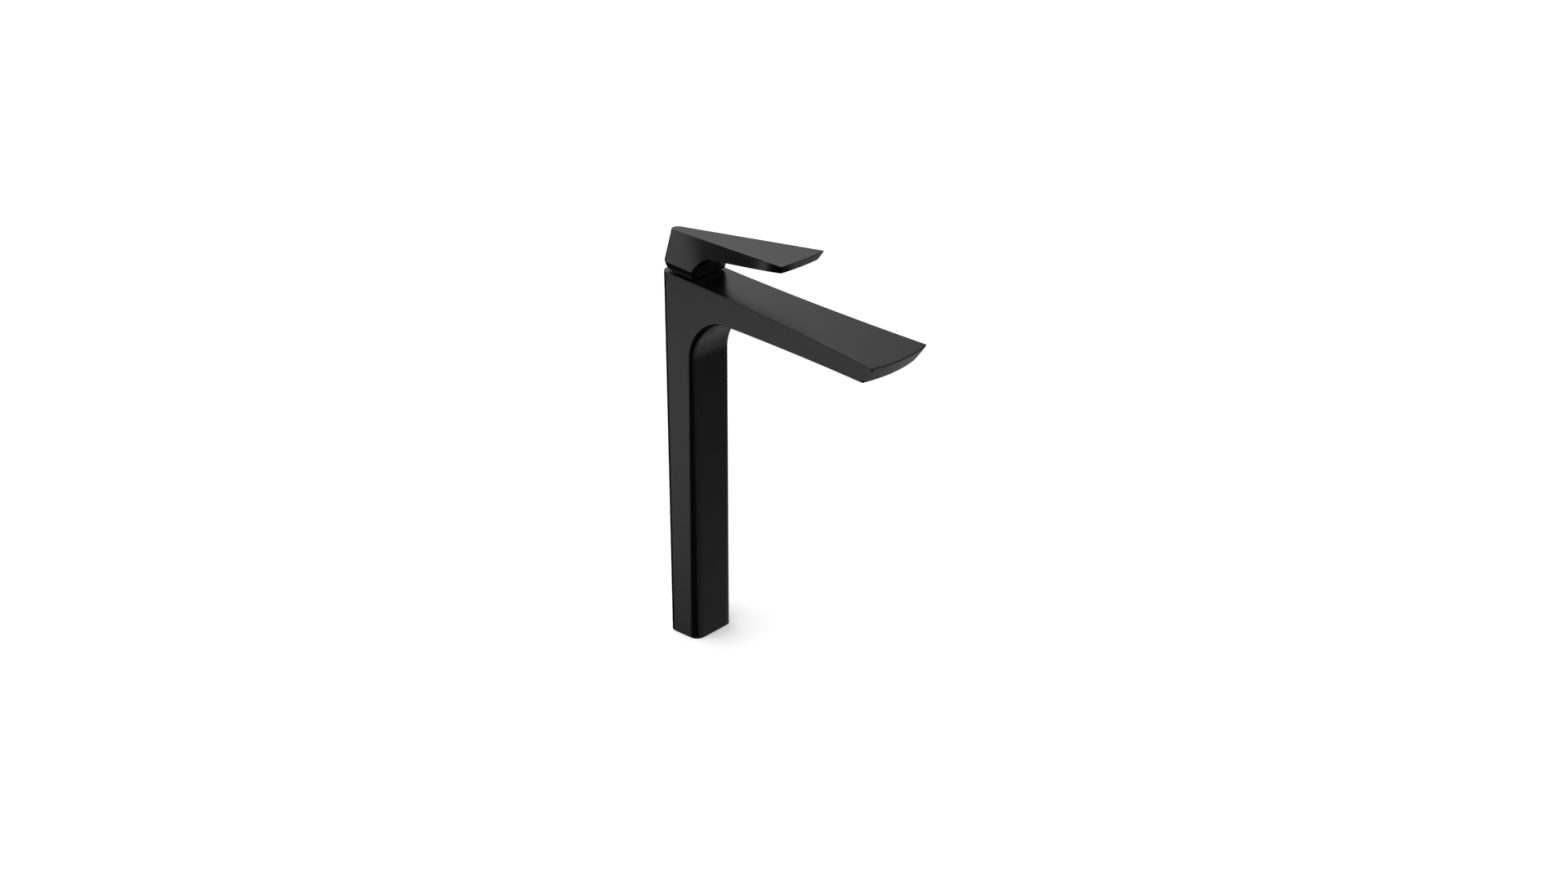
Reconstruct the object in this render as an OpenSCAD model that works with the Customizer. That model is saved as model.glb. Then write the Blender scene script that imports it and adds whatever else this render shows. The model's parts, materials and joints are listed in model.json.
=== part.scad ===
// Tall single-lever basin mixer. Millimetres.
// +Z is up from the deck, the spout points along -Y, X is the width.

/* [Column] */
// width of the column
column_w = 37.5; // [36.5:0.5:42]
// depth of the column, back to front
column_d = 29; // [28.5:0.5:33]
// height of the sloped top at its back edge
column_h = 276; // [200:1:320]
// wall of the hollow column
wall = 3; // [2.75:0.25:3.25]
// radius of the two back corners
back_r = 7; // [4:0.5:8]
// radius of the two front corners, up the column and round the arch
front_r = 4.5; // [3.5:0.5:6]

/* [Spout] */
// fall of the straight top towards the tip, degrees
top_slope = 5.3; // [4.5:0.1:6]
// from the column's centre to the top corners of the tip
spout_reach = 178; // [160:1:215]
// width of the tip
spout_tip_w = 54.5; // [46:0.5:60]
// height of the spout where it leaves the column
root_depth = 22; // [21:0.5:24]
// height of the spout at its tip
tip_depth = 13.3; // [13:0.1:16]
// how far the lower edge of the tip stands back
tip_rake = 8.9; // [4:0.1:12]
// bulge of the tip seen from above
tip_bow = 3.5; // [1:0.1:5]
// radius of the arch between column and spout
arch_r = 32; // [28:0.5:34]
// bore of the waterway in the spout
waterway_d = 6.4; // [5:0.1:6.8]

/* [Lever] */
// from the column's centre to the top corners of the lever tip
lever_reach = 97; // [85:1:125]
// height of the lever's top face above the column's back edge
lever_h = 24.8; // [23:0.1:28]
// rise of the lever's top face towards its tip, degrees
lever_rise = 1.9; // [0:0.1:4]
// how far the top face reaches back beyond the foot
lever_tail = 3.5; // [2:0.5:4]
// width of the top face at the back
lever_back_w = 7; // [6:0.5:10]
// width of the top face at the tip
lever_tip_w = 42; // [36:0.5:50]
// thickness of the lever at its tip
lever_tip_t = 5.8; // [4:0.1:7]
// how far the lower edges stand in from the upper ones at the tip
lever_tuck = 3.2; // [0.6:0.1:4]
// thickness of the lever beside its foot
lever_root_t = 10.4; // [9:0.1:11]
// bulge of the lever tip seen from above
lever_bow = 1.2; // [0.5:0.1:3]
// widest part of the lever's foot
foot_w = 36; // [35.5:0.5:36.5]
// radius of the hollow in front of the foot
foot_arch_r = 17; // [15:0.5:18]
// gap between the lever and the sloped top
foot_gap = 1; // [0.8:0.1:1.5]
// how far the lever lifts, degrees
lift_angle = 15; // [10:1:15]
// how far the lever turns to each side, degrees
swivel_angle = 45; // [30:5:50]

/* [Cartridge] */
// outside diameter of the cartridge
cartridge_d = 25; // [24:0.5:25.5]
// diameter of the ceramic stack
disc_d = 18.4; // [17.5:0.1:18.8]
// square of the stem
stem_sq = 6; // [5:0.5:6]
// thread of the nut that clamps the cartridge
nut_d = 27; // [26.5:0.5:27.5]
// depth of the cartridge seat below the sloped top
seat_depth = 22; // [22:0.5:23]

/* [Water] */
// thread hole of each inlet, M10 x 1
inlet_d = 9; // [8.8:0.1:9.2]
// distance between the two inlets
inlet_pitch = 16; // [15.5:0.5:17]
// thread hole of the fixing stud, M8
stud_hole_d = 6.8; // [6.6:0.1:7]
// outside diameter of the risers
riser_d = 8; // [6.5:0.5:8]
// thread of the hidden aerator
aerator_d = 18.5; // [16.5:0.5:20]

/* [Hidden] */
$fn = 96;
run_gap = 0.1;
half_w = column_w / 2;
back = column_d / 2;
front = -column_d / 2;
tip_half = spout_tip_w / 2;
tip_low = -spout_reach + tip_rake;

function top_z(y) = column_h - (back - y) * tan(top_slope);
under_fall = (top_z(front) - root_depth - top_z(tip_low) + tip_depth) / (front - tip_low);
under_slope = atan(under_fall);
function under_z(y) = top_z(front) - root_depth - (front - y) * under_fall;
arch_y = front - arch_r;
arch_z = under_z(arch_y) - arch_r / cos(under_slope);
rake_angle = atan(tip_rake / (top_z(-spout_reach) - under_z(tip_low)));
flare = tip_half - half_w;
flare_start = front - 1;
flare_l = spout_reach + flare_start;
flare_lead = 6;
flare_out = (flare_l * flare_l + 2 * flare_l * flare_lead + flare * flare) / (2 * flare);
flare_r = norm([flare_out, flare_lead]);
flare_x = half_w + flare_out;
function flank_x(y) = flare_x - sqrt(flare_r * flare_r - pow(y - flare_start - flare_lead, 2));

head_y = -2.5;
nut_low = -8;
nut_top = -1.5;
seat_r = cartridge_d / 2 + run_gap;
layer = 2.5;
disc_t = layer - 0.02;
fixed_low = -seat_depth + layer;
moving_low = fixed_low + layer;
carrier_low = moving_low + layer;
rotor_low = -9.4;
pivot_v = 6;
pivot_w = -6.2;
pin_r = 1;
ball_w = -12;
ball_r = 2.3;
disc_bore_r = disc_d / 2 + run_gap;
disc_rest = 0.65;
port_x = 5.2;
port_y = 3.1;
outlet_y = -4.4;
ports = [[port_x, port_y, 2.2], [-port_x, port_y, 2.2], [0, outlet_y, 2.6]];

inlet_x = inlet_pitch / 2;
inlet_y = 3.5;
cavity_top = top_z(head_y) - seat_depth - 21.4;
socket_top = cavity_top + 12;
gasket_t = 1.7;
block_top = 20;
block_socket = 12.4;
riser_r = riser_d / 2;
riser_low = block_socket + 0.2;
riser_top = socket_top - 1.5;
seal_r = 0.75;
seal_levels = [16, cavity_top + 5.5];
screw_x = 10.8;
screw_y = -6.6;
screw_r = 1.5;
screw_len = 26;
stud_y = -5.8;

aerator_y = -spout_reach + 23;
aerator_r = aerator_d / 2;
waterway_r = waterway_d / 2;

lever_back = back + 0.5;
top_back = lever_back + lever_tail;
lever_front = lever_reach + top_back;
lever_under_fall = (lever_root_t - lever_tip_t) / (lever_reach - 35) + tan(lever_rise);
neck_y = front + 1.2;
function lever_z(y) = column_h + lever_h + (lever_back - y) * tan(lever_rise);
function lever_under(y) = lever_z(-35) - lever_root_t + (-35 - y) * lever_under_fall;
foot_arch_y = neck_y - foot_arch_r;
foot_arch_z = lever_under(foot_arch_y) - foot_arch_r / cos(atan(lever_under_fall));
bush_r = 6.5;
grub_w = 10;
grub_r = 2.5;

// places children on the cartridge axis, with Z = 0 in the sloped top
module at_head() {
    translate([0, head_y, top_z(head_y)]) rotate([top_slope, 0, 0]) children();
}

// places children under the spout, with Z = 0 in its underside
module at_aerator() {
    translate([0, aerator_y, under_z(aerator_y)]) rotate([under_slope, 0, 0]) children();
}

// a drawing in Y and Z made into a solid w wide, centred on X
module slab(w) {
    translate([-w / 2, 0, 0]) rotate([90, 0, 90]) linear_extrude(w) children();
}

module ring(r_out, r_in, low, high) {
    translate([0, 0, low]) difference() {
        cylinder(r = r_out, h = high - low);
        translate([0, 0, -1]) cylinder(r = r_in, h = high - low + 2);
    }
}

module o_ring(r, thick) {
    rotate_extrude() translate([r, 0]) circle(r = thick, $fn = 32);
}

module rounded(w, d, r) {
    translate([r - w / 2, -d / 2]) square([w - 2 * r, d]);
    translate([-w / 2, r - d / 2]) square([w, d - 2 * r]);
    for (x = [-1, 1], y = [-1, 1]) {
        translate([x * (w / 2 - r), y * (d / 2 - r)]) circle(r = r);
    }
}

// what a round takes off a square edge along Z that has its solid at -X, -Y
module round_off(len) {
    translate([0, 0, -0.01]) linear_extrude(len + 0.01) difference() {
        translate([-front_r, -front_r]) square(front_r + 1);
        translate([-front_r, -front_r]) circle(r = front_r);
    }
}

// the outline of column and spout seen from the side
module side_outline() {
    far = -spout_reach - 12;
    end_y = arch_y - arch_r * sin(under_slope);
    polygon([[back, 0], [back, column_h], [far, top_z(far)], [far, under_z(far)],
        [front, under_z(front)], [front, 0]]);
    difference() {
        polygon([[front + 1, arch_z], [front + 1, under_z(front) + 1], [end_y, under_z(end_y) + 1],
            [end_y, under_z(end_y)], [arch_y, arch_z]]);
        translate([arch_y, arch_z]) circle(r = arch_r, $fn = 180);
    }
}

// the outline seen from above: straight flanks that flare in an arc from the column on
module plan_outline() {
    difference() {
        union() {
            translate([-half_w, flare_start]) square([column_w, back - flare_start]);
            translate([-tip_half - 3, -spout_reach - 15]) square([spout_tip_w + 6, flare_l + 15]);
        }
        for (s = [-1, 1]) {
            translate([s * flare_x, flare_start + flare_lead]) circle(r = flare_r, $fn = 1440);
            difference() {
                translate([s * half_w - back_r, back - back_r]) square(back_r * 2);
                translate([s * (half_w - back_r), back - back_r]) circle(r = back_r);
                translate([s * half_w - s * back_r * 2 - back_r, back - back_r]) square(back_r * 2);
            }
        }
    }
}

// what is cut off a tip to leave its raked and bulged end face
module tip_cut(y, z, rake, half, bow) {
    sag = bow * cos(rake);
    r = (half * half + sag * sag) / (2 * sag);
    difference() {
        translate([-half - 10, y - 16, z - 30]) cube([2 * half + 20, 28, 60]);
        translate([0, y, z]) rotate([rake, 0, 0]) translate([0, r - sag, -100]) {
            cylinder(r = r, h = 200, $fn = 360);
        }
    }
}

// the rounds of the two front corners, up the column and round the arch; on the spout they lean
// away from the edge until they leave it
module front_rounds() {
    fade = 16;
    lean = atan(front_r * 0.45 / fade);
    end_y = arch_y - arch_r * sin(under_slope);
    flank_turn = atan((flank_x(end_y - fade) - flank_x(end_y)) / fade);
    for (s = [0, 1]) mirror([s, 0, 0]) {
        translate([half_w, front, 0]) rotate([0, 0, -90]) round_off(arch_z);
        translate([half_w, arch_y, arch_z]) rotate([-90, 0, 90]) {
            rotate_extrude(angle = -90 - under_slope) difference() {
                translate([arch_r - 1, -1]) square(front_r + 1);
                translate([arch_r + front_r, front_r]) circle(r = front_r);
            }
        }
        translate([flank_x(end_y), end_y, under_z(end_y)]) rotate([0, 0, flank_turn]) {
            rotate([90 + under_slope, 0, 0]) rotate([0, 0, -90]) rotate(lean, [-1, 1, 0]) round_off(fade);
        }
    }
}

module waterway() {
    seat_z = top_z(head_y) - seat_depth;
    turns = [[-4.6, seat_z - 6.4], [-20, seat_z - 4.8], [arch_y - 2, (top_z(arch_y) + under_z(arch_y)) / 2],
        [aerator_y, under_z(aerator_y) + 8]];
    for (i = [0:2]) {
        a = turns[i];
        b = turns[i + 1];
        translate([0, a[0], a[1]]) sphere(r = waterway_r + 0.2);
        translate([0, a[0], a[1]]) rotate([90 - atan2(b[1] - a[1], a[0] - b[0]), 0, 0]) {
            cylinder(r = waterway_r, h = norm(b - a));
        }
    }
}

module cavity() {
    inner_w = column_w - 2 * wall;
    inner_d = column_d - 2 * wall;
    difference() {
        translate([0, 0, -1]) linear_extrude(cavity_top + 1) rounded(inner_w, inner_d, 4);
        for (s = [-1, 1]) translate([s * (screw_x + 1.5), screw_y - 1.5, block_top + 0.1]) {
            translate([-4.5, -4.5, 0]) cube([9, 9, 14]);
        }
    }
}

module body() {
    color("#1b1b1d") difference() {
        intersection() {
            slab(spout_tip_w + 10) side_outline();
            translate([0, 0, -1]) linear_extrude(column_h + 2) plan_outline();
        }
        tip_cut(-spout_reach, top_z(-spout_reach), rake_angle, tip_half, tip_bow);
        front_rounds();
        cavity();
        at_head() {
            translate([0, 0, -seat_depth]) cylinder(r = seat_r, h = seat_depth + 3);
            translate([0, 0, nut_low]) cylinder(r = nut_d / 2, h = 12);
            for (s = [-1, 1]) translate([s * port_x, port_y, -33]) cylinder(r = 2.2, h = 12);
            translate([0, outlet_y, -27]) cylinder(r = 2.6, h = 6);
        }
        waterway();
        for (s = [-1, 1]) {
            translate([s * inlet_x, inlet_y, cavity_top - 1]) {
                cylinder(r = riser_r + run_gap / 2, h = socket_top - cavity_top + 1);
            }
            translate([s * inlet_x, inlet_y, seal_levels[1] - 1]) cylinder(r = riser_r + 1.6, h = 2);
            translate([s * screw_x, screw_y, block_top - 1]) {
                cylinder(r = screw_r + 0.02, h = screw_len - block_top + 5);
            }
        }
        at_aerator() translate([0, 0, -1]) cylinder(r = aerator_r, h = 10);
    }
}

module base_block() {
    color("#b8923f") difference() {
        union() {
            translate([0, 0, gasket_t]) linear_extrude(block_top - gasket_t) {
                rounded(column_w - 2 * wall - 0.2, column_d - 2 * wall - 0.2, 3.9);
            }
            linear_extrude(gasket_t) {
                rounded(column_w - 2 * wall - 3.4, column_d - 2 * wall - 3.4, 2.3);
            }
        }
        for (s = [-1, 1]) {
            translate([s * inlet_x, inlet_y, -1]) cylinder(d = inlet_d, h = 11.5);
            translate([s * inlet_x, inlet_y, 0]) cylinder(r = 3, h = block_socket + 1);
            translate([s * inlet_x, inlet_y, block_socket]) cylinder(r = riser_r + run_gap / 2, h = 10);
            translate([s * inlet_x, inlet_y, seal_levels[0] - 1]) cylinder(r = riser_r + 1.6, h = 2);
            translate([s * screw_x, screw_y, 0]) cylinder(r = screw_r + run_gap, h = block_top + 1);
            translate([s * screw_x, screw_y, -1]) cylinder(r = 2.9, h = 4.2);
        }
        translate([0, stud_y, -1]) cylinder(d = stud_hole_d, h = 15);
    }
}

module base_screws() {
    color("#9a9ca0") for (s = [-1, 1]) translate([s * screw_x, screw_y, 0]) difference() {
        union() {
            translate([0, 0, 1]) cylinder(r = 2.8, h = 2.2);
            translate([0, 0, 3]) cylinder(r = screw_r, h = screw_len - 3);
        }
        cylinder(r = 1.25, h = 2.4, $fn = 6);
    }
}

module base_gasket() {
    color("#26262a") linear_extrude(gasket_t) difference() {
        rounded(column_w - 2 * wall - 0.2, column_d - 2 * wall - 0.2, 3.9);
        rounded(column_w - 2 * wall - 3.2, column_d - 2 * wall - 3.2, 2.4);
    }
}

module riser(s) {
    translate([s * inlet_x, inlet_y, 0]) ring(riser_r, riser_r - 1, riser_low, riser_top);
}

module hot_riser() {
    color("#b5683a") riser(-1);
}

module cold_riser() {
    color("#b5683a") riser(1);
}

module riser_seals() {
    color("#26262a") for (s = [-1, 1], z = seal_levels) {
        translate([s * inlet_x, inlet_y, z]) o_ring(riser_r + seal_r + 0.05, seal_r);
    }
}

module cartridge_base() {
    color("#d9d6cc") at_head() difference() {
        translate([0, 0, -seat_depth]) cylinder(r = cartridge_d / 2, h = disc_t);
        for (p = ports) translate([p[0], p[1], -seat_depth - 1]) {
            cylinder(r = p[2], h = 6);
            cylinder(r = p[2] + 1.45, h = 2.2);
        }
    }
}

module port_seals() {
    color("#26262a") at_head() for (p = ports) translate([p[0], p[1], -seat_depth]) {
        ring(p[2] + 1.4, p[2] + 0.3, 0, 1.15);
    }
}

module fixed_disc() {
    color("#efece4") at_head() difference() {
        translate([0, 0, fixed_low]) cylinder(d = disc_d, h = disc_t);
        for (s = [-1, 1]) translate([s * 4.4, 3.2, fixed_low - 1]) cylinder(r = 1.9, h = 5);
        translate([0, -3.6, fixed_low - 1]) cylinder(r = 2.3, h = 5);
    }
}

module moving_disc() {
    color("#efece4") at_head() translate([0, disc_rest, moving_low]) difference() {
        cylinder(r = 7, h = disc_t);
        translate([0, -1.4, -1]) cylinder(r = 3.6, h = 2.4);
    }
}

module disc_carrier() {
    color("#c9c6bd") at_head() difference() {
        translate([0, disc_rest, carrier_low]) cylinder(r = 7.2, h = rotor_low - carrier_low - 0.2);
        translate([0, 0, ball_w - ball_r - 0.3]) cylinder(r = ball_r + 0.09, h = 10);
    }
}

module cartridge_shell() {
    color("#d9d6cc") at_head() difference() {
        union() {
            translate([0, 0, fixed_low]) {
                cylinder(d = cartridge_d, h = nut_low - fixed_low - run_gap);
            }
            translate([0, 0, fixed_low]) cylinder(r = 10.7, h = -2.6 - fixed_low);
        }
        translate([0, 0, fixed_low - 1]) cylinder(r = disc_bore_r, h = -4 - fixed_low + 1);
        translate([0, 0, -6]) cylinder(r = 7.7, h = 6);
    }
}

module rotor() {
    color("#c9c6bd") at_head() difference() {
        union() {
            translate([0, 0, rotor_low]) cylinder(d = disc_d, h = -4.1 - rotor_low);
            translate([0, 0, -5]) cylinder(r = 6.6, h = 3.4);
            intersection() {
                translate([0, 0, -5]) cylinder(r = 7.4, h = 3.4);
                translate([-1.2, -9, -5]) cube([2.4, 9, 3.4]);
            }
        }
        translate([-stem_sq / 2 - run_gap, -4.7, rotor_low - 1]) {
            cube([stem_sq + 2 * run_gap, 15, 10]);
        }
        translate([-12, pivot_v, pivot_w]) rotate([0, 90, 0]) {
            cylinder(r = pin_r + 0.01, h = 24, $fn = 48);
        }
    }
}

module pivot_pin() {
    reach = sqrt(disc_d * disc_d / 4 - pow(pivot_v + pin_r, 2)) - 0.2;
    color("#9a9ca0") at_head() translate([-reach, pivot_v, pivot_w]) rotate([0, 90, 0]) {
        cylinder(r = pin_r, h = 2 * reach, $fn = 48);
    }
}

module stem() {
    color("#b8923f") at_head() difference() {
        union() {
            translate([-stem_sq / 2, -stem_sq / 2, -8.4]) cube([stem_sq, stem_sq, 23.9]);
            translate([-stem_sq / 2, 0, -8.4]) cube([stem_sq, pivot_v + 2, 4.1]);
            translate([0, 0, ball_w]) cylinder(r = 1.9, h = 5);
            translate([0, 0, ball_w]) sphere(r = ball_r);
        }
        translate([-6, pivot_v, pivot_w]) rotate([0, 90, 0]) {
            cylinder(r = pin_r + 0.05, h = 12, $fn = 48);
        }
    }
}

// the lug of the rotor runs in the gap of this ring and stops at its ends
module limit_ring() {
    stop = swivel_angle + asin(1.2 / 7.4) + 2;
    color("#b43a32") at_head() translate([0, 0, -2.5]) linear_extrude(1) difference() {
        circle(r = 10.6);
        circle(r = 6.8);
        intersection() {
            circle(r = 7.6);
            polygon([[0, 0], [-12 * sin(stop), -12 * cos(stop)], [-12, -20], [12, -20],
                [12 * sin(stop), -12 * cos(stop)]]);
        }
    }
}

module cartridge_nut() {
    color("#b8923f") at_head() difference() {
        ring(nut_d / 2 - 0.05, 10.8, nut_low, nut_top);
        for (a = [0, 90, 180, 270]) rotate(a) translate([10, -1.5, nut_top - 2.5]) cube([6, 3, 4]);
    }
}

module cover_ring() {
    color("#1b1b1d") at_head() ring(nut_d / 2 - 0.1, 6.8, nut_top + 0.1, 0);
}

// the foot of the lever, drawn in steps because it turns under towards its lower edge
module foot_level(w, inset) {
    side = foot_w / 2 - inset;
    for (x = [-1, 1]) {
        translate([x * (side - 6.5), lever_back - inset - 6.5 - head_y, w]) cylinder(r = 6.5, h = 0.1);
        translate([x * (side - 2), front - 6 - head_y, w]) cylinder(r = 2, h = 0.1);
    }
}

module lever_skin() {
    hull() {
        translate([0, top_back, lever_z(top_back) - 0.1]) rotate([-lever_rise, 0, 0]) {
            linear_extrude(0.1) {
                for (x = [-1, 1]) translate([x * (lever_back_w / 2 - 2.8), -2.8]) circle(r = 2.8);
                translate([-lever_tip_w / 2 - 0.6, -lever_front - 4]) square([lever_tip_w + 1.2, 0.1]);
            }
        }
        translate([lever_tuck - lever_tip_w / 2, 0.5 - lever_reach, lever_z(-lever_reach) - lever_tip_t]) {
            cube([lever_tip_w - 2 * lever_tuck, 0.1, 0.1]);
        }
        at_head($fn = 32) {
            foot_level(foot_gap, 2);
            foot_level(foot_gap + 3, 0.8);
            foot_level(foot_gap + 7, 0);
        }
    }
}

// what is cut away under the lever and in front of its foot
module lever_hollow() {
    far = -lever_reach - 12;
    low = column_h - 26;
    end_y = foot_arch_y + foot_arch_r * sin(atan(lever_under_fall));
    difference() {
        polygon([[neck_y, low], [neck_y, lever_under(neck_y)], [far, lever_under(far)], [far, low]]);
        difference() {
            polygon([[neck_y + 1, foot_arch_z], [neck_y + 1, lever_under(neck_y) + 1],
                [end_y, lever_under(end_y) + 1], [end_y, lever_under(end_y)],
                [foot_arch_y, foot_arch_z]]);
            translate([foot_arch_y, foot_arch_z]) circle(r = foot_arch_r);
        }
    }
}

module lever() {
    tip_rake_angle = 26;
    drop = (foot_gap - pivot_w) * cos(lift_angle) + pivot_w - 0.2;
    heel_v = pivot_v + drop / sin(lift_angle);
    color("#1b1b1d") difference() {
        lever_skin();
        tip_cut(-lever_reach, lever_z(-lever_reach), tip_rake_angle, lever_tip_w / 2, lever_bow);
        slab(lever_tip_w + 20) lever_hollow();
        at_head() {
            translate([0, heel_v, foot_gap]) rotate([lift_angle + 0.5, 0, 0]) {
                translate([-30, 0, -20]) cube([60, 40, 20]);
            }
            translate([0, 2.8, -1]) linear_extrude(8.8) rounded(29.2, 22.4, 5);
            cylinder(r = bush_r + 0.05, h = 16.2);
            translate([0, 0, grub_w]) rotate([-90, 0, 0]) cylinder(r = grub_r + 0.05, h = 30);
            translate([0, 15, grub_w]) rotate([-90, 0, 0]) cylinder(r = 3.55, h = 10);
        }
    }
}

module lever_bush() {
    hole = stem_sq + run_gap;
    color("#d9d6cc") at_head() difference() {
        translate([0, 0, 4.2]) cylinder(r = bush_r, h = 11.8);
        translate([-hole / 2, -hole / 2, 3]) cube([hole, hole, 14]);
        translate([0, 0, grub_w]) rotate([-90, 0, 0]) cylinder(r = grub_r + 0.05, h = 10);
    }
}

module grub_screw() {
    color("#9a9ca0") at_head() translate([0, stem_sq / 2 + 0.05, grub_w]) rotate([-90, 0, 0]) {
        difference() {
            cylinder(r = grub_r, h = 8);
            translate([0, 0, 5]) cylinder(r = 1.45, h = 4, $fn = 6);
        }
    }
}

module grub_plug() {
    color("#1b1b1d") at_head() translate([0, 15.1, grub_w]) rotate([-90, 0, 0]) {
        cylinder(r = 3.5, h = 3);
    }
}

module aerator_shell() {
    color("#c4c6c9") at_aerator() difference() {
        translate([0, 0, 0.6]) cylinder(r = aerator_r - 0.05, h = 6.6);
        cylinder(r = aerator_r - 2, h = 8);
        translate([0, 0, 1.4]) cylinder(r = aerator_r - 1.4, h = 8);
        for (a = [0, 90, 180, 270]) rotate(a) translate([aerator_r - 2.4, -1, 0]) cube([3, 2, 1.3]);
    }
}

module aerator_screen() {
    r = aerator_r - 1.5;
    color("#c4c6c9") at_aerator() translate([0, 0, 1.5]) difference() {
        cylinder(r = r, h = 0.6);
        for (row = [1:3], k = [0:6 * row - 1]) rotate(k * 60 / row) {
            translate([row * r / 3.9, 0, -1]) cylinder(r = 0.65, h = 3, $fn = 24);
        }
    }
}

module aerator_core() {
    r = aerator_r - 1.5;
    color("#e6e6e2") at_aerator() translate([0, 0, 2.2]) difference() {
        cylinder(r = r, h = 4.8);
        for (k = [0:11]) rotate(k * 30) translate([r - 1.9, 0, -1]) cylinder(r = 0.9, h = 7, $fn = 24);
        translate([0, 0, 2]) cylinder(r = r - 3.6, h = 4);
    }
}

module aerator_washer() {
    color("#26262a") at_aerator() ring(aerator_r - 0.1, aerator_r - 3, 7.3, 8.9);
}

body();
base_block();
base_screws();
base_gasket();
hot_riser();
cold_riser();
riser_seals();
cartridge_base();
port_seals();
fixed_disc();
moving_disc();
disc_carrier();
cartridge_shell();
rotor();
pivot_pin();
stem();
limit_ring();
cartridge_nut();
cover_ring();
lever();
lever_bush();
grub_screw();
grub_plug();
aerator_shell();
aerator_core();
aerator_screen();
aerator_washer();
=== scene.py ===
import bpy
import bmesh
import json
import math
from mathutils import Matrix, Vector


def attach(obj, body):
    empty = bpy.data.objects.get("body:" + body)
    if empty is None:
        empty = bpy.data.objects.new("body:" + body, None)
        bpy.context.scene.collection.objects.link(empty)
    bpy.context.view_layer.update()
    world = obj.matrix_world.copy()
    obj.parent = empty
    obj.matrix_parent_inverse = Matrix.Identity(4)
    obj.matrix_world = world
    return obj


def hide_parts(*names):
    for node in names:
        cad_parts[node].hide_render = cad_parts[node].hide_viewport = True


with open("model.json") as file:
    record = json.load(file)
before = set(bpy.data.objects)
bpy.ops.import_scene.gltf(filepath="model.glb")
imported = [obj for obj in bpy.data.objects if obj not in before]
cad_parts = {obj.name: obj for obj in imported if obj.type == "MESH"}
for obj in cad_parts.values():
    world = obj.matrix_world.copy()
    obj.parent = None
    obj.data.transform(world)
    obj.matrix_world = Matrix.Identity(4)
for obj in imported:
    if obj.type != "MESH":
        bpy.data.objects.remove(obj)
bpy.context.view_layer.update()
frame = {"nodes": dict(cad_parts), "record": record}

mm = 0.001  # sizes are in millimetres, with the spout towards -Y
weld = 0.004  # points closer than this become one
cellsAcross = 12

# the sloped top of the column, which the body and the lever share
headLook = {"height": 276, "back": 14.5, "slope": 5.3, "middle": -2.5}
slopeTan = math.tan(math.radians(headLook["slope"]))


def topZ(y):
    return headLook["height"] - (headLook["back"] - y) * slopeTan


headMatrix = Matrix.Translation((0, headLook["middle"], topZ(headLook["middle"]))) @ Matrix.Rotation(
    math.radians(headLook["slope"]), 4, "X")


def onHead(x, y, w):
    # a point at height w above the sloped top
    p = headMatrix @ Vector((x, y - headLook["middle"], w))
    return (p.x, p.y, p.z)


def smooth(t):
    t = min(max(t, 0), 1)
    return t * t * (3 - 2 * t)


def turnAngles(cells):
    return [math.radians(90 * i / cells) for i in range(cells + 1)]


def circleLine(r, count=96):
    return [(r * math.cos(2 * math.pi * i / count), r * math.sin(2 * math.pi * i / count))
            for i in range(count)]


def roundedLine(halfX, halfY, r, cells=8):
    line = []
    for quarter in range(4):
        cx = (halfX - r) * (1 if quarter in (0, 3) else -1)
        cy = (halfY - r) * (1 if quarter in (0, 1) else -1)
        for turn in turnAngles(cells):
            a = turn + math.radians(90 * quarter)
            line.append((cx + r * math.cos(a), cy + r * math.sin(a)))
    return line


def lineAcross(half, y, z, bow=0, fall=0):
    # a row of points from side to side, pulled forward in the middle by bow
    row = []
    for i in range(cellsAcross + 1):
        c = -1 + 2 * i / cellsAcross
        pull = bow * (1 - c * c)
        row.append((half * c, y - pull, z - pull * fall))
    return row


def patch(bm, rows):
    # rows with the same number of points become a sheet of faces
    grid = [[bm.verts.new(p) for p in row] for row in rows]
    for a, b in zip(grid, grid[1:]):
        for i in range(len(a) - 1):
            bm.faces.new((a[i], a[i + 1], b[i + 1], b[i]))


def patchBoth(bm, *sheets):
    # the same sheets on both sides
    for side in (1, -1):
        for rows in sheets:
            patch(bm, [[(side * x, y, z) for x, y, z in row] for row in rows])


def addObject(name, bm):
    mesh = bpy.data.meshes.new(name)
    bm.to_mesh(mesh)
    bm.free()
    made = bpy.data.objects.new(name, mesh)
    bpy.context.scene.collection.objects.link(made)
    return made


def makePiece(name, bm):
    bmesh.ops.remove_doubles(bm, verts=bm.verts, dist=weld)
    bmesh.ops.dissolve_degenerate(bm, dist=weld / 2, edges=bm.edges)
    bmesh.ops.recalc_face_normals(bm, faces=bm.faces)
    for v in bm.verts:
        v.co *= mm
    return addObject(name, bm)


def cutter(name, outline, low, high, place):
    # a straight prism that is taken away from a piece
    bm = bmesh.new()
    lower, upper = [[bm.verts.new((x, y, z)) for x, y in outline] for z in (low, high)]
    count = len(outline)
    for i in range(count):
        j = (i + 1) % count
        bm.faces.new((lower[i], lower[j], upper[j], upper[i]))
    bm.faces.new(upper)
    bm.faces.new(list(reversed(lower)))
    bmesh.ops.recalc_face_normals(bm, faces=bm.faces)
    bm.transform(Matrix.Scale(mm, 4) @ place)
    return addObject(name, bm)


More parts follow.
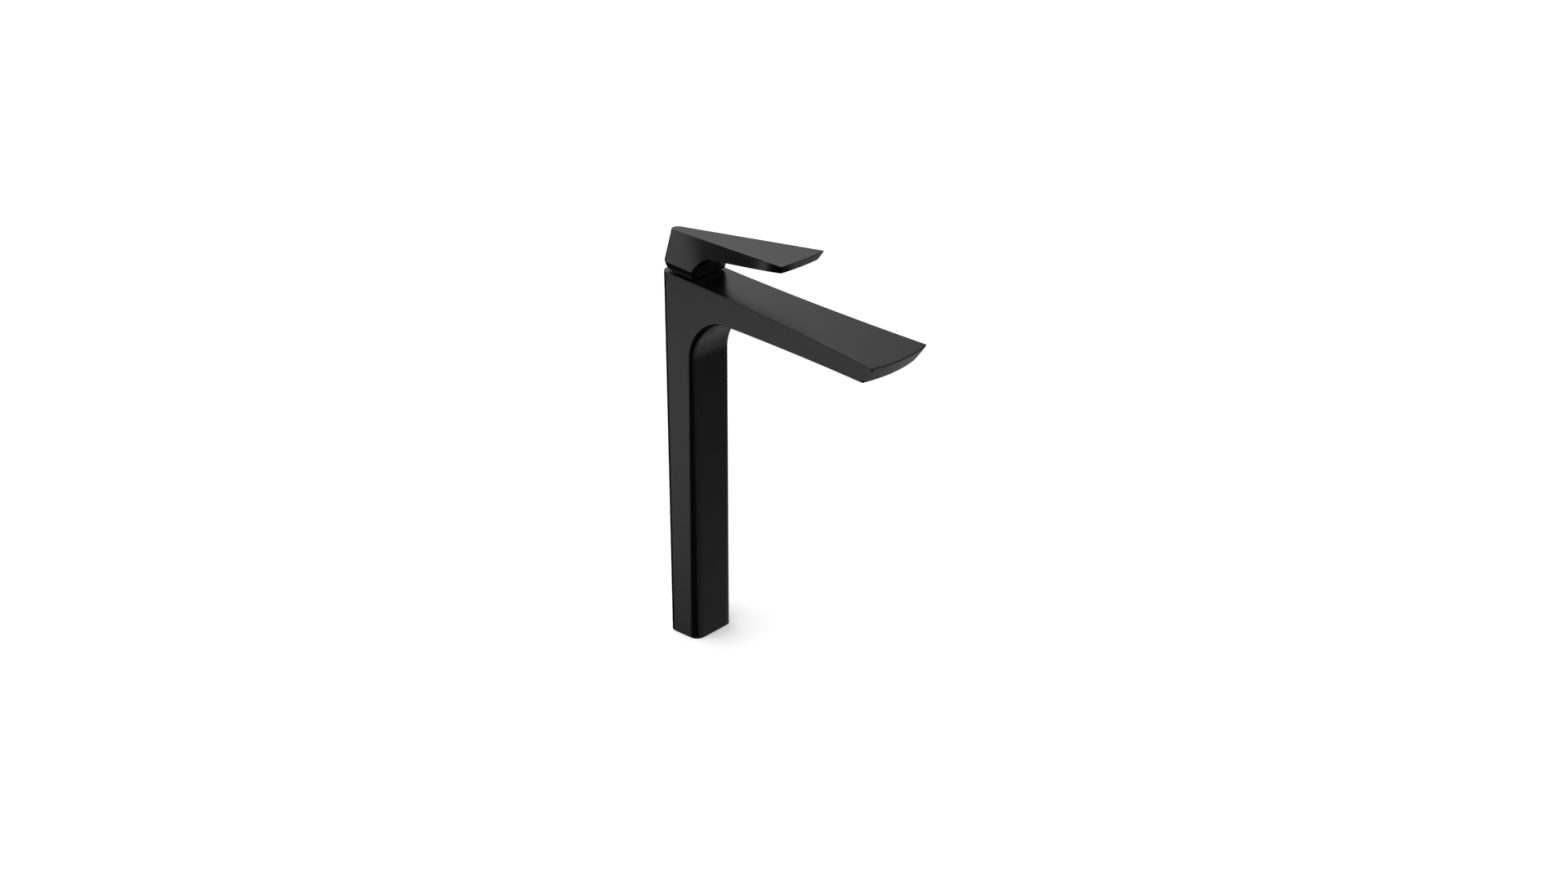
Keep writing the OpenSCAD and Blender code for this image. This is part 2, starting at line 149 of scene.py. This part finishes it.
def cutOut(piece, tools):
    # tools reach past the metal wherever the cut is open
    for tool in tools:
        bite = piece.modifiers.new("bite", "BOOLEAN")
        bite.operation = "DIFFERENCE"
        bite.solver = "EXACT"
        bite.object = tool
    bpy.context.view_layer.update()
    cut = bpy.data.meshes.new_from_object(piece.evaluated_get(bpy.context.evaluated_depsgraph_get()))
    piece.modifiers.clear()
    piece.data = cut
    for tool in tools:
        bpy.data.objects.remove(tool)


def addBevel(piece, name, width, segments, limit, crease):
    bevel = piece.modifiers.new(name, "BEVEL")
    bevel.width = width * mm
    bevel.segments = segments
    bevel.limit_method = limit
    bevel.angle_limit = crease
    bevel.use_clamp_overlap = False


def finishCasting(piece, body, look):
    # the edges round the tip are broken more than the long ones
    crease = math.radians(look["crease"])
    mesh = piece.data
    for poly in mesh.polygons:
        poly.use_smooth = True
    mesh.set_sharp_from_angle(angle=crease)
    bm = bmesh.new()
    bm.from_mesh(mesh)
    weight = bm.edges.layers.float.new("bevel_weight_edge")
    for e in bm.edges:
        if len(e.link_faces) == 2 and e.calc_face_angle(0) > crease:
            if any(f.normal.y < -0.5 and f.calc_center_median().y < look["tipFrom"] * mm
                   for f in e.link_faces):
                e[weight] = 1.0
    bm.to_mesh(mesh)
    bm.free()
    addBevel(piece, "tipEdge", look["tipEdge"], 4, "WEIGHT", crease)
    addBevel(piece, "fineEdge", look["edge"], 3, "ANGLE", crease)
    even = piece.modifiers.new("evenShading", "WEIGHTED_NORMAL")
    even.keep_sharp = False
    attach(piece, body)


bodyLook = {
    "half": 18.75, "front": -14.5, "backR": 7, "footR": 7, "neckR": 4,  # column and its corners
    "archR": 30.5, "archEnd": 34, "archThin": 40,  # the arch opens and its corner thins past archThin degrees
    "reach": 178.3, "rake": 8.9, "rootDepth": 22, "tipDepth": 13.3, "tipHalf": 27.5,  # spout
    "flareFrom": 1, "lead": 6, "bow": 3.5, "bowFrom": 0.7,
    "wall": 3, "hollowR": 4, "hollowDeep": 60, "headBore": 13.5, "headDeep": 22,
    "aeratorAt": 23, "aeratorR": 9.25, "aeratorDeep": 9,
    "edge": 0.35, "tipEdge": 1.1, "tipFrom": -160, "crease": 32,
    "columnRows": 24, "archRows": 26, "spoutRows": 40, "cornerCells": 8, "sideCells": 14, "backCells": 12,
}
seamY = headLook["back"] - bodyLook["backR"]  # where the back's rounds begin


def spoutShape():
    # underside line, half width along the spout, centre of the arch, fall of the underside
    b = bodyLook
    tipLow = b["rake"] - b["reach"]
    rootZ = topZ(b["front"]) - b["rootDepth"]
    fall = (rootZ - topZ(tipLow) + b["tipDepth"]) / (b["front"] - tipLow)

    def underZ(y):
        return rootZ - (b["front"] - y) * fall

    archY = b["front"] - b["archR"]
    archZ = underZ(archY) - b["archEnd"] / math.cos(math.atan(fall))
    # the sides flare along a circle that starts behind the root, so they leave it at a slight angle
    start = b["front"] - b["flareFrom"]
    run = b["reach"] + start
    flare = b["tipHalf"] - b["half"]
    away = (run * run + 2 * run * b["lead"] + flare * flare) / (2 * flare)
    flareR = math.hypot(away, b["lead"])

    def halfAt(y):
        if y >= start:
            return b["half"]
        return b["half"] + away - math.sqrt(flareR ** 2 - (y - start - b["lead"]) ** 2)

    return underZ, halfAt, archY, archZ, fall


def bodyPath(underZ, archY, archZ, fall):
    # stops up the column, round the arch and out under the spout: y, z, direction into the metal,
    # corner radius, the point across on the back seam or the sloped top, and the bow
    b = bodyLook
    path = []
    for i in range(b["columnRows"] + 1):
        z = archZ * i / b["columnRows"]
        r = b["footR"] + (b["neckR"] - b["footR"]) * z / archZ
        path.append((b["front"], z, (1, 0), r, (seamY, z), 0))
    last = 90 + math.degrees(math.atan(fall))
    corner = math.degrees(math.atan2(topZ(seamY) - archZ, seamY - archY))
    turns = [last * i / b["archRows"] for i in range(1, b["archRows"] + 1)]
    for a in sorted(set(turns + [corner])):
        c, s = math.cos(math.radians(a)), math.sin(math.radians(a))
        if a <= corner:
            out = (seamY - archY) / c
        else:
            out = (topZ(archY) - archZ) / (s - c * slopeTan)
        thin = smooth((a - b["archThin"]) / (last - b["archThin"])) * (b["archEnd"] - b["archR"])
        r = b["archR"] + thin
        path.append((archY + r * c, archZ + r * s, (c, s), b["neckR"] - thin,
                     (archY + out * c, archZ + out * s), 0))
    lowStart, topStart = path[-1][0], path[-1][4][0]
    inward = (-math.sin(math.atan(fall)), math.cos(math.atan(fall)))
    for i in range(1, b["spoutRows"] + 1):
        t = i / b["spoutRows"]
        y = lowStart + (b["rake"] - b["reach"] - lowStart) * t
        yTop = topStart - (b["reach"] + topStart) * t
        bow = b["bow"] * smooth((t - b["bowFrom"]) / (1 - b["bowFrom"]))
        path.append((y, underZ(y), inward, 0, (yTop, topZ(yTop)), bow))
    return path


def bodySheets(bm, path, halfAt, fall):
    b = bodyLook
    close = 1e-6
    fronts, corners, sides, backs, tops = [], [], [], [], []
    for y, z, inward, r, (outY, outZ), bow in path:
        half = halfAt(y)
        fronts.append(lineAcross(half - r, y, z, bow, fall))
        turn = []
        for a in turnAngles(b["cornerCells"]):
            deep = r * (1 - math.cos(a))
            py, pz = y + inward[0] * deep, z + inward[1] * deep
            turn.append((half - r + (r + halfAt(py) - half) * math.sin(a), py, pz))
        corners.append(turn)
        startY, startZ = turn[-1][1:]
        line = []
        for j in range(b["sideCells"] + 1):
            t = j / b["sideCells"]
            py = startY + (outY - startY) * t
            line.append((halfAt(py), py, startZ + (outZ - startZ) * t))
        sides.append(line)
        if outY >= seamY - close:
            turn = []
            for a in turnAngles(b["backCells"]):
                py = seamY + b["backR"] * math.sin(a)
                turn.append((b["half"] - b["backR"] * (1 - math.cos(a)), py, outZ * topZ(py) / topZ(seamY)))
            backs.append(turn)
        if outZ >= topZ(outY) - close:
            tops.append(lineAcross(halfAt(outY), outY, topZ(outY), bow, slopeTan))
    patch(bm, fronts)
    patchBoth(bm, corners, sides, backs)
    patch(bm, [lineAcross(*turn[-1]) for turn in backs])
    patch(bm, [lineAcross(x, y, topZ(y)) for x, y, z in reversed(backs[-1])])
    patch(bm, tops)
    cells = b["sideCells"]
    patch(bm, [[tuple(p + (q - p) * j / cells for p, q in zip(low, high))
                for low, high in zip(fronts[-1], tops[-1])] for j in range(cells + 1)])


def bodySkin():
    b = bodyLook
    underZ, halfAt, archY, archZ, fall = spoutShape()
    bm = bmesh.new()
    bodySheets(bm, bodyPath(underZ, archY, archZ, fall), halfAt, fall)
    # the foot is closed first and hollowed afterwards
    bmesh.ops.remove_doubles(bm, verts=bm.verts, dist=weld)
    foot = [e for e in bm.edges if e.is_boundary and all(abs(v.co.z) < 0.001 for v in e.verts)]
    bmesh.ops.contextual_create(bm, geom=foot)
    piece = makePiece("bodyCasting", bm)
    inner = roundedLine(b["half"] - b["wall"], headLook["back"] - b["wall"], b["hollowR"])
    aeratorY = b["aeratorAt"] - b["reach"]
    under = Matrix.Translation((0, aeratorY, underZ(aeratorY))) @ Matrix.Rotation(math.atan(fall), 4, "X")
    cutOut(piece, [
        cutter("hollow", inner, -5, b["hollowDeep"], Matrix.Identity(4)),
        cutter("headBore", circleLine(b["headBore"]), -b["headDeep"], 10, headMatrix),
        cutter("aeratorBore", circleLine(b["aeratorR"]), -5, b["aeratorDeep"], under),
    ])
    finishCasting(piece, "mixer_body", b)
    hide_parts("body")
    return piece


leverLook = {
    "height": 24.8, "rise": 1.9, "back": 15, "tail": 3.8, "backHalf": 4, "backR": 3.5,  # top face
    "reach": 97.3, "tipHalf": 21.3, "tipThick": 5.8, "tuck": 3.2, "rake": 2.8, "bow": 1.2,  # tip
    "rootThick": 10.4, "rootAt": -35, "archR": 17, "neck": 1.2,  # arm and the hollow under it
    "footHalf": 18, "footR": 6.5, "footFront": -20.5,
    "footLevels": ((0, 7), (0.8, 4), (2, 1)),  # inset and height of the lines that turn under
    "gap": 1, "lift": 15.5, "heel": 7.3,  # clearance over the head and relief for the lift
    "shellHalf": (14.6, 11.2), "shellR": 5, "shellBack": 2.8, "shellDeep": 7.8,
    "bushR": 6.55, "bushDeep": 16.2, "grubAt": 10, "grubR": 2.55, "plugR": 3.55, "plugFrom": 15,
    "edge": 0.3, "tipEdge": 0.7, "tipFrom": -90, "crease": 34,
    "flatStops": 4, "turnCells": 8, "armStops": 30, "flankCells": 10, "bowStops": 7, "archCells": 40,
}
leverRise = math.tan(math.radians(leverLook["rise"]))
leverThins = (leverLook["rootThick"] - leverLook["tipThick"]) / (leverLook["reach"] + leverLook["rootAt"])
leverFall = leverThins + leverRise  # how fast the underside falls towards the back


def leverTop(y):
    return headLook["height"] + leverLook["height"] + (leverLook["back"] - y) * leverRise


def leverUnder(y):
    v = leverLook
    return leverTop(v["rootAt"]) - v["rootThick"] + (v["rootAt"] - y) * leverFall


def leverLines():
    # four lines from the middle of the back round to the tip's corner: the edge of the top face,
    # the widest line of the foot, and two that turn under it
    v = leverLook
    topEnd = v["back"] + v["tail"]
    lines = [[], [], [], []]

    def backCorner(half, end, r, t, a):
        return (half - r) * t + r * math.sin(a), end - r + r * math.cos(a)

    stops = [(i / v["flatStops"], 0) for i in range(v["flatStops"])]
    for t, a in stops + [(1, a) for a in turnAngles(v["turnCells"])]:
        x, y = backCorner(v["backHalf"], topEnd, v["backR"], t, a)
        lines[0].append((x, y, leverTop(y)))
        for line, (inset, w) in zip(lines[1:], v["footLevels"]):
            x, y = backCorner(v["footHalf"] - inset, v["back"] - inset, v["footR"], t, a)
            line.append(onHead(x, y, w))
    topStart, lowStart = lines[0][-1], lines[1][-1]
    footCorner = onHead(v["footHalf"], v["footFront"], v["footLevels"][0][1])
    tipCorner = (v["tipHalf"] - v["tuck"], v["rake"] - v["reach"], leverTop(-v["reach"]) - v["tipThick"])
    for i in range(1, v["armStops"] + 1):
        t = i / v["armStops"]
        y = topStart[1] - (v["reach"] + topStart[1]) * t
        lines[0].append((v["backHalf"] + (v["tipHalf"] - v["backHalf"]) * t, y, leverTop(y)))
        # the lower line bends at the corner of the foot
        y = lowStart[1] + (tipCorner[1] - lowStart[1]) * t
        near, far = (lowStart, footCorner) if y > footCorner[1] else (footCorner, tipCorner)
        s = (near[1] - y) / (near[1] - far[1])
        low = tuple(p + (q - p) * s for p, q in zip(near, far))
        lines[1].append(low)
        for line, (inset, w) in zip(lines[2:], v["footLevels"][1:]):
            line.append(onHead(low[0] - inset, low[1], w))
    return lines


def leverSheets(bm, lines):
    v = leverLook
    cells = v["flankCells"]
    flanks = []
    for stop in zip(*lines):
        edge, low, turn, foot = [Vector(p) for p in stop]
        row = [edge + (low - edge) * j / cells for j in range(cells + 1)]
        row += [low + (turn - low) * 0.5, turn, turn + (foot - turn) * 0.5, foot]
        flanks.append([tuple(p) for p in row])
    patchBoth(bm, flanks)
    first = v["flatStops"] - 1
    count = len(lines[0])
    tops = []
    for k in range(first, count):
        bow = v["bow"] * smooth((k - count + 1) / v["bowStops"] + 1)
        tops.append(lineAcross(*lines[0][k], bow, -leverRise))
    patch(bm, tops)
    patch(bm, [lineAcross(*p) for p in lines[3][first:]])
    patch(bm, [tops[-1]] + [lineAcross(*p, v["bow"]) for p in flanks[-1][1:]])


def leverSkin():
    v = leverLook
    bm = bmesh.new()
    leverSheets(bm, leverLines())
    bmesh.ops.remove_doubles(bm, verts=bm.verts, dist=weld)
    bmesh.ops.holes_fill(bm, edges=[e for e in bm.edges if e.is_boundary], sides=0)
    piece = makePiece("leverCasting", bm)
    # the hollow between arm and spout, drawn from the side
    neckY = bodyLook["front"] + v["neck"]
    bend = math.atan(leverFall)
    archY = neckY - v["archR"]
    archZ = leverUnder(archY) - v["archR"] / math.cos(bend)
    far, low = -v["reach"] - 12, headLook["height"] - 26
    line = [(neckY, low)]
    for i in range(v["archCells"] + 1):
        a = (math.pi / 2 - bend) * i / v["archCells"]
        line.append((archY + v["archR"] * math.cos(a), archZ + v["archR"] * math.sin(a)))
    line += [(far, leverUnder(far)), (far, low)]
    sideways = Matrix(((0, 0, 1, 0), (1, 0, 0, 0), (0, 1, 0, 0), (0, 0, 0, 1)))
    heel = headMatrix @ Matrix.Translation((0, v["heel"], v["gap"])) @ Matrix.Rotation(
        math.radians(v["lift"]), 4, "X")
    shell = [(x, y + v["shellBack"]) for x, y in roundedLine(*v["shellHalf"], v["shellR"])]
    backwards = headMatrix @ Matrix.Translation((0, 0, v["grubAt"])) @ Matrix.Rotation(
        math.radians(-90), 4, "X")
    cutOut(piece, [
        cutter("fingerGap", line, -35, 35, sideways),
        cutter("heelRelief", [(-30, 0), (30, 0), (30, 40), (-30, 40)], -20, 0, heel),
        cutter("footHollow", shell, -1, v["shellDeep"], headMatrix),
        cutter("bushHole", circleLine(v["bushR"]), -1, v["bushDeep"], headMatrix),
        cutter("grubHole", circleLine(v["grubR"], 48), 0, v["plugFrom"] + 0.05, backwards),
        cutter("plugRecess", circleLine(v["plugR"], 48), v["plugFrom"], 30, backwards),
    ])
    finishCasting(piece, "lever_arm", v)
    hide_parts("lever")
    return piece


bodyCasting = bodySkin()
print("body casting done")
leverCasting = leverSkin()
print("lever casting done")


def surfaceGrain():
    # slow unevenness, fine grain and rubbed edges, shared by every finish
    group = bpy.data.node_groups.new("surfaceGrain", "ShaderNodeTree")
    for name, value in (("Scale", 400.0), ("Base Roughness", 0.2), ("Spread", 0.05)):
        socket = group.interface.new_socket(name=name, in_out="INPUT", socket_type="NodeSocketFloat")
        socket.default_value = value
    for name in ("Roughness", "Height", "Rubbed"):
        group.interface.new_socket(name=name, in_out="OUTPUT", socket_type="NodeSocketFloat")
    n = group.nodes
    link = group.links.new
    come = n.new("NodeGroupInput")
    give = n.new("NodeGroupOutput")
    where = n.new("ShaderNodeTexCoord")
    slow = n.new("ShaderNodeTexNoise")
    slow.inputs["Scale"].default_value = 38.0
    slow.inputs["Detail"].default_value = 3.0
    link(where.outputs["Object"], slow.inputs["Vector"])
    fine = n.new("ShaderNodeTexNoise")
    fine.inputs["Detail"].default_value = 4.0
    link(where.outputs["Object"], fine.inputs["Vector"])
    link(come.outputs["Scale"], fine.inputs["Scale"])
    both = n.new("ShaderNodeMath")
    both.operation = "ADD"
    link(slow.outputs["Fac"], both.inputs[0])
    link(fine.outputs["Fac"], both.inputs[1])
    centre = n.new("ShaderNodeMath")
    centre.operation = "SUBTRACT"
    centre.inputs[1].default_value = 1.0
    link(both.outputs[0], centre.inputs[0])
    rough = n.new("ShaderNodeMath")
    rough.operation = "MULTIPLY_ADD"
    link(centre.outputs[0], rough.inputs[0])
    link(come.outputs["Spread"], rough.inputs[1])
    link(come.outputs["Base Roughness"], rough.inputs[2])
    shape = n.new("ShaderNodeNewGeometry")
    sharp = n.new("ShaderNodeMapRange")
    sharp.inputs["From Min"].default_value = 0.52
    sharp.inputs["From Max"].default_value = 0.62
    link(shape.outputs["Pointiness"], sharp.inputs["Value"])
    link(rough.outputs[0], give.inputs["Roughness"])
    link(fine.outputs["Fac"], give.inputs["Height"])
    link(sharp.outputs["Result"], give.inputs["Rubbed"])
    return group


finishes = {
    "black_finish": {"name": "satinBlackPaint", "color": (0.0016, 0.0016, 0.0017),
                     "worn": (0.004, 0.004, 0.0043), "metal": 0.0, "rough": 0.25,
                     "spread": 0.03, "grain": 900, "bump": 0.00002},
    "brass": {"name": "turnedBrass", "color": (0.62, 0.42, 0.15), "worn": (0.78, 0.6, 0.3),
              "metal": 1.0, "rough": 0.28, "spread": 0.12, "grain": 1500, "bump": 0.00008},
    "steel": {"name": "turnedSteel", "color": (0.52, 0.53, 0.55), "worn": (0.7, 0.71, 0.72),
              "metal": 1.0, "rough": 0.26, "spread": 0.12, "grain": 1700, "bump": 0.00006},
    "copper": {"name": "drawnCopper", "color": (0.66, 0.3, 0.17), "worn": (0.8, 0.45, 0.3),
               "metal": 1.0, "rough": 0.3, "spread": 0.14, "grain": 900, "bump": 0.00005},
    "seal_rubber": {"name": "sealRubber", "color": (0.013, 0.013, 0.014), "worn": (0.03, 0.03, 0.032),
                    "metal": 0.0, "rough": 0.62, "spread": 0.12, "grain": 2200, "bump": 0.0001},
    "cartridge_plastic": {"name": "mouldedPlastic", "color": (0.6, 0.58, 0.5), "worn": (0.7, 0.68, 0.6),
                          "metal": 0.0, "rough": 0.45, "spread": 0.1, "grain": 1400, "bump": 0.00006},
    "ceramic": {"name": "lappedCeramic", "color": (0.8, 0.78, 0.73), "worn": (0.86, 0.85, 0.8),
                "metal": 0.0, "rough": 0.12, "spread": 0.05, "grain": 2600, "bump": 0.00001},
    "limit_red": {"name": "limitRed", "color": (0.42, 0.03, 0.02), "worn": (0.5, 0.08, 0.06),
                  "metal": 0.0, "rough": 0.42, "spread": 0.1, "grain": 1400, "bump": 0.00005},
    "plug_plastic": {"name": "plugPlastic", "color": (0.008, 0.008, 0.009), "worn": (0.02, 0.02, 0.02),
                     "metal": 0.0, "rough": 0.24, "spread": 0.06, "grain": 1400, "bump": 0.00003},
    "aerator_chrome": {"name": "aeratorChrome", "color": (0.72, 0.73, 0.75), "worn": (0.8, 0.8, 0.81),
                       "metal": 1.0, "rough": 0.1, "spread": 0.06, "grain": 1200, "bump": 0.00002},
    "aerator_plastic": {"name": "aeratorPlastic", "color": (0.74, 0.74, 0.7), "worn": (0.8, 0.8, 0.77),
                        "metal": 0.0, "rough": 0.4, "spread": 0.1, "grain": 1400, "bump": 0.00005},
}


def makeFinish(look, grain):
    mat = bpy.data.materials.new(look["name"])
    mat.use_nodes = True
    tree = mat.node_tree
    link = tree.links.new
    shader = tree.nodes["Principled BSDF"]
    shader.inputs["Metallic"].default_value = look["metal"]
    effect = tree.nodes.new("ShaderNodeGroup")
    effect.node_tree = grain
    effect.inputs["Scale"].default_value = look["grain"]
    effect.inputs["Base Roughness"].default_value = look["rough"]
    effect.inputs["Spread"].default_value = look["spread"]
    blend = tree.nodes.new("ShaderNodeMix")
    blend.data_type = "RGBA"
    blend.inputs["A"].default_value = (*look["color"], 1)
    blend.inputs["B"].default_value = (*look["worn"], 1)
    link(effect.outputs["Rubbed"], blend.inputs["Factor"])
    link(blend.outputs["Result"], shader.inputs["Base Color"])
    link(effect.outputs["Roughness"], shader.inputs["Roughness"])
    bump = tree.nodes.new("ShaderNodeBump")
    bump.inputs["Strength"].default_value = 0.5
    bump.inputs["Distance"].default_value = look["bump"]
    link(effect.outputs["Height"], bump.inputs["Height"])
    link(bump.outputs["Normal"], shader.inputs["Normal"])
    return mat


def setFinish(piece, mat):
    piece.data.materials.clear()
    piece.data.materials.append(mat)


grain = surfaceGrain()
madeFinishes = {slot: makeFinish(look, grain) for slot, look in finishes.items()}
slotOf = {s["node"]: s["material_slot"] for s in frame["record"]["subparts"]}
for name, node in frame["nodes"].items():
    setFinish(node, madeFinishes[slotOf[name]])
for piece in (bodyCasting, leverCasting):
    setFinish(piece, madeFinishes["black_finish"])
print("finishes done")

floorLook = {"size": 9, "tone": 0.9, "rough": 0.9, "glow": 0.14}


def makeFloor():
    bm = bmesh.new()
    bmesh.ops.create_grid(bm, x_segments=4, y_segments=4, size=floorLook["size"])
    floor = addObject("floor", bm)
    mat = bpy.data.materials.new("paleFloor")
    mat.use_nodes = True
    shader = mat.node_tree.nodes["Principled BSDF"]
    shader.inputs["Base Color"].default_value = (floorLook["tone"],) * 3 + (1,)
    shader.inputs["Roughness"].default_value = floorLook["rough"]
    shader.inputs["Specular IOR Level"].default_value = 0.0
    shader.inputs["Emission Color"].default_value = (1, 1, 1, 1)
    shader.inputs["Emission Strength"].default_value = floorLook["glow"]
    floor.data.materials.append(mat)
    floor.visible_glossy = False


# each light or shade runs smoothly from the first height or side to the second,
# and its strength goes from the third value to the fourth
skyLook = {
    "leftSide": (-0.705, 0.709, 0),  # side is 1 this way and -1 the other way
    "overhead": (0.5, 1.0, 0.96, 2.4), "overheadRim": (0.14, 0.37, 0.0, 1.0),
    "overheadShade": (-0.2, 0.0, 0.4, 1.0), "lowRim": (0.2, 0.34, 1.0, 0.0),
    "leftWidth": (0.84, 0.91, 0.0, 1.0), "leftFoot": (-0.56, -0.46, 0.04, 1.08),
    "leftHead": (-0.36, -0.27, 1.0, 0.1),
    "rightWidth": (0.0, -0.45, 0.0, 1.0), "rightFoot": (-0.56, -0.34, 0.32, 0.07),
}


def makeSky():
    # a pale tent: bright overhead, a narrow opening low on the left, a dim one low on the right
    world = bpy.data.worlds.new("softTent")
    bpy.context.scene.world = world
    world.use_nodes = True
    n = world.node_tree.nodes
    link = world.node_tree.links.new
    where = n.new("ShaderNodeTexCoord")
    split = n.new("ShaderNodeSeparateXYZ")
    link(where.outputs["Generated"], split.inputs[0])
    toward = n.new("ShaderNodeVectorMath")
    toward.operation = "DOT_PRODUCT"
    toward.inputs[1].default_value = skyLook["leftSide"]
    link(where.outputs["Generated"], toward.inputs[0])
    height, side = split.outputs["Z"], toward.outputs["Value"]

    def ramp(source, key):
        node = n.new("ShaderNodeMapRange")
        node.interpolation_type = "SMOOTHSTEP"
        for name, value in zip(("From Min", "From Max", "To Min", "To Max"), skyLook[key]):
            node.inputs[name].default_value = value
        link(source, node.inputs["Value"])
        return node.outputs["Result"]

    def join(kind, a, b):
        node = n.new("ShaderNodeMath")
        node.operation = kind
        link(a, node.inputs[0])
        link(b, node.inputs[1])
        return node.outputs[0]

    left = join("MULTIPLY", ramp(side, "leftWidth"), ramp(height, "leftFoot"))
    left = join("MULTIPLY", left, ramp(height, "leftHead"))
    right = join("MULTIPLY", ramp(side, "rightWidth"), ramp(height, "rightFoot"))
    low = join("MULTIPLY", join("ADD", left, right), ramp(height, "lowRim"))
    top = join("MULTIPLY", ramp(height, "overhead"), ramp(height, "overheadRim"))
    top = join("MULTIPLY", top, ramp(side, "overheadShade"))
    # past the floor's rim the tent itself is plain white
    seen = n.new("ShaderNodeLightPath")
    white = n.new("ShaderNodeMix")
    white.inputs["B"].default_value = 1.0
    link(seen.outputs["Is Camera Ray"], white.inputs["Factor"])
    link(join("ADD", top, low), white.inputs["A"])
    link(white.outputs["Result"], n["Background"].inputs["Strength"])
    n["Background"].inputs["Color"].default_value = (1, 1, 1, 1)


keyLook = {"size": 1.6, "energy": 6.0, "place": (-0.9, 0.4, 2.2), "aim": (0, 0, 0.15)}


def makeKey():
    light = bpy.data.lights.new("softKey", "AREA")
    light.shape = "DISK"
    light.size = keyLook["size"]
    light.energy = keyLook["energy"]
    lamp = bpy.data.objects.new("softKey", light)
    lamp.location = keyLook["place"]
    lamp.rotation_euler = (Vector(keyLook["aim"]) - lamp.location).to_track_quat("-Z", "Y").to_euler()
    bpy.context.scene.collection.objects.link(lamp)


cameraLook = {
    "lens": 48.366, "sensor": 36, "place": (-0.97502, -0.93391, 0.75330), "tilt": 65.8, "turn": -48.81,
}


def makeCamera():
    data = bpy.data.cameras.new("camera")
    data.lens = cameraLook["lens"]
    data.sensor_width = cameraLook["sensor"]
    camera = bpy.data.objects.new("camera", data)
    camera.location = cameraLook["place"]
    camera.rotation_euler = (math.radians(cameraLook["tilt"]), 0, math.radians(cameraLook["turn"]))
    bpy.context.scene.collection.objects.link(camera)
    bpy.context.scene.camera = camera


makeFloor()
makeSky()
makeKey()
makeCamera()
bpy.context.scene.view_settings.view_transform = "Standard"
print("stage done")
